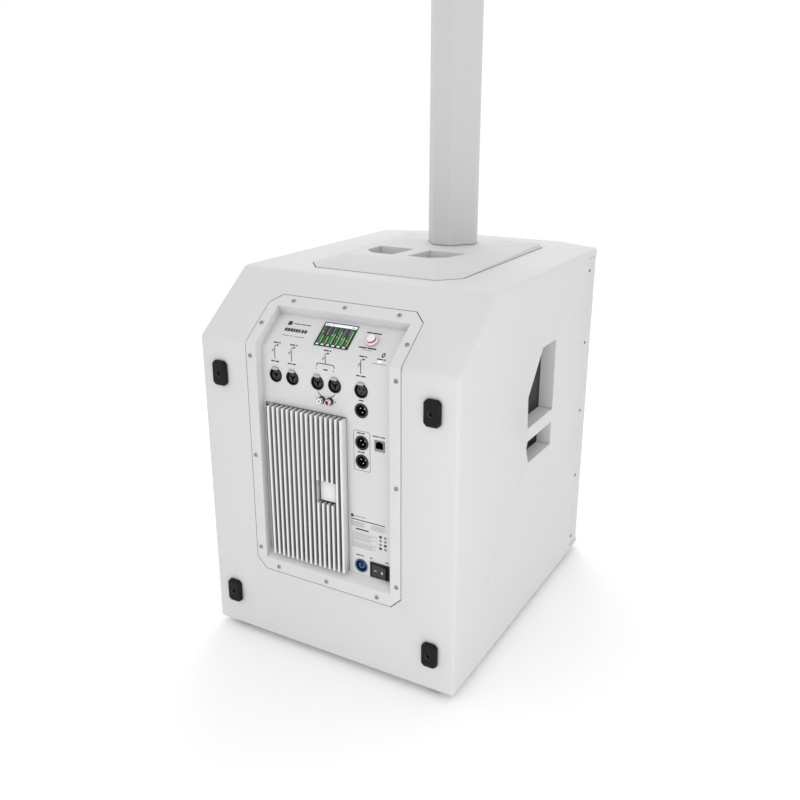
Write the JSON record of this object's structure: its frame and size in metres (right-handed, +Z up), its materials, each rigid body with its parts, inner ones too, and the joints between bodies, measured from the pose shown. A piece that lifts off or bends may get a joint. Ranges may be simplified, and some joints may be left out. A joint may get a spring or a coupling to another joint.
{
  "type": "column loudspeaker system",
  "caption": "Column loudspeaker: a bass cabinet with a powered rear panel and grip openings, a plain pole plugged into its top, and a slim driver array on the pole.",
  "frame": {"origin": "middle of the footprint, on the floor under the feet", "axes": "+Z up along the column, -Y the way the grilles face, +Y the way the rear panel faces"},
  "size_m": [0.43, 0.581, 2.35],
  "materials": {
    "cabinet_paint": "white textured paint on plywood",
    "tray_plastic": "white satin",
    "plate_paint": "white satin powder coat",
    "grille_paint": "white powder coat",
    "column_paint": "white satin paint on an extrusion",
    "plywood": "bare plywood",
    "driver_casting": "black painted casting",
    "soft_rubber": "matte",
    "cone_paper": "pressed fibre",
    "sink_metal": "white painted casting",
    "circuit_board": "green laminate",
    "inner_plastic": "matte black",
    "jack_plastic": "satin black",
    "jack_metal": "nickel plate",
    "inlet_plastic": "satin blue",
    "screen": "gloss",
    "knob_plastic": "satin",
    "tab_plastic": "satin grey",
    "bumper_rubber": "matte"
  },
  "bodies": {
    "cabinet_body": {"cabinet": "cabinet_paint", "front_baffle": "plywood", "front_grille": "grille_paint", "brace_board": "plywood", "woofer_frame": "driver_casting", "woofer_surround": "soft_rubber", "woofer_magnet": "driver_casting", "port_tube_left": "inner_plastic", "port_tube_right": "inner_plastic", "amplifier_plate": "plate_paint", "heat_sink": "sink_metal", "input_board": "circuit_board", "power_board": "circuit_board", "combo_jack_1": "jack_plastic", "combo_jack_2": "jack_plastic", "combo_jack_3": "jack_plastic", "combo_jack_4": "jack_plastic", "mic_jack": "jack_plastic", "line_output_1": "jack_plastic", "line_output_2": "jack_plastic", "line_output_3": "jack_plastic", "phono_jack_left": "jack_metal", "phono_jack_right": "jack_metal", "network_jack": "jack_plastic", "mains_inlet": "inlet_plastic", "rocker_housing": "jack_plastic", "display_screen": "screen", "side_cup_left": "inner_plastic", "side_cup_right": "inner_plastic", "rear_bumper_1": "bumper_rubber", "rear_bumper_2": "bumper_rubber", "rear_bumper_3": "bumper_rubber", "rear_bumper_4": "bumper_rubber", "foot_1": "bumper_rubber", "foot_2": "bumper_rubber", "foot_3": "bumper_rubber", "foot_4": "bumper_rubber", "top_tray": "tray_plastic"},
    "woofer_diaphragm": {"woofer_cone": "cone_paper", "woofer_dust_cap": "cone_paper"},
    "encoder": {"encoder_shaft": "jack_metal"},
    "knob": {"control_knob": "knob_plastic"},
    "rocker": {"power_rocker": "jack_plastic"},
    "tab_1": {"release_tab_1": "tab_plastic"},
    "tab_2": {"release_tab_2": "tab_plastic"},
    "tab_3": {"release_tab_3": "tab_plastic"},
    "tab_4": {"release_tab_4": "tab_plastic"},
    "tab_5": {"release_tab_5": "tab_plastic"},
    "pole_assembly": {"pole": "column_paint", "pole_plug": "jack_plastic"},
    "array": {"array_body": "column_paint", "array_grille": "grille_paint", "array_driver_1": "cone_paper", "array_driver_2": "cone_paper", "array_driver_3": "cone_paper", "array_driver_4": "cone_paper", "array_driver_5": "cone_paper", "array_driver_6": "cone_paper", "array_driver_7": "cone_paper", "array_driver_8": "cone_paper"}
  },
  "joints": [
    {"name": "woofer_excursion", "type": "slide", "parent": "cabinet_body", "child": "woofer_diaphragm", "axis": [0, -1, 0], "range_m": [-0.005, 0.005], "stiffness_N_per_m": 3000},
    {"name": "encoder_press", "type": "slide", "parent": "cabinet_body", "child": "encoder", "axis": [0, 0.6169, 0.7871], "range_m": [-0.0008, 0], "stiffness_N_per_m": 600, "springref_m": 0.001},
    {"name": "knob_turn", "type": "hinge", "parent": "encoder", "child": "knob", "pos_m": [-0.0595, 0.23923, 0.50912], "axis": [0, 0.6169, 0.7871], "continuous": true},
    {"name": "rocker_tilt", "type": "hinge", "parent": "cabinet_body", "child": "rocker", "pos_m": [-0.086, 0.2685, 0.173], "axis": [0, 0, 1], "range_deg": [0, 15.3]},
    {"name": "tab_press_1", "type": "slide", "parent": "cabinet_body", "child": "tab_1", "axis": [0, 1, 0], "range_m": [-0.002, 0], "stiffness_N_per_m": 800, "springref_m": 0.001},
    {"name": "tab_press_2", "type": "slide", "parent": "cabinet_body", "child": "tab_2", "axis": [0, 1, 0], "range_m": [-0.002, 0], "stiffness_N_per_m": 800, "springref_m": 0.001},
    {"name": "tab_press_3", "type": "slide", "parent": "cabinet_body", "child": "tab_3", "axis": [0, 1, 0], "range_m": [-0.002, 0], "stiffness_N_per_m": 800, "springref_m": 0.001},
    {"name": "tab_press_4", "type": "slide", "parent": "cabinet_body", "child": "tab_4", "axis": [0, 1, 0], "range_m": [-0.002, 0], "stiffness_N_per_m": 800, "springref_m": 0.001},
    {"name": "tab_press_5", "type": "slide", "parent": "cabinet_body", "child": "tab_5", "axis": [0, 1, 0], "range_m": [-0.002, 0], "stiffness_N_per_m": 800, "springref_m": 0.001},
    {"name": "pole_lift", "type": "slide", "parent": "cabinet_body", "child": "pole_assembly", "axis": [0, 0, 1], "range_m": [0, 0.06]},
    {"name": "array_lift", "type": "slide", "parent": "pole_assembly", "child": "array", "axis": [0, 0, 1], "range_m": [0, 0.06]}
  ]
}
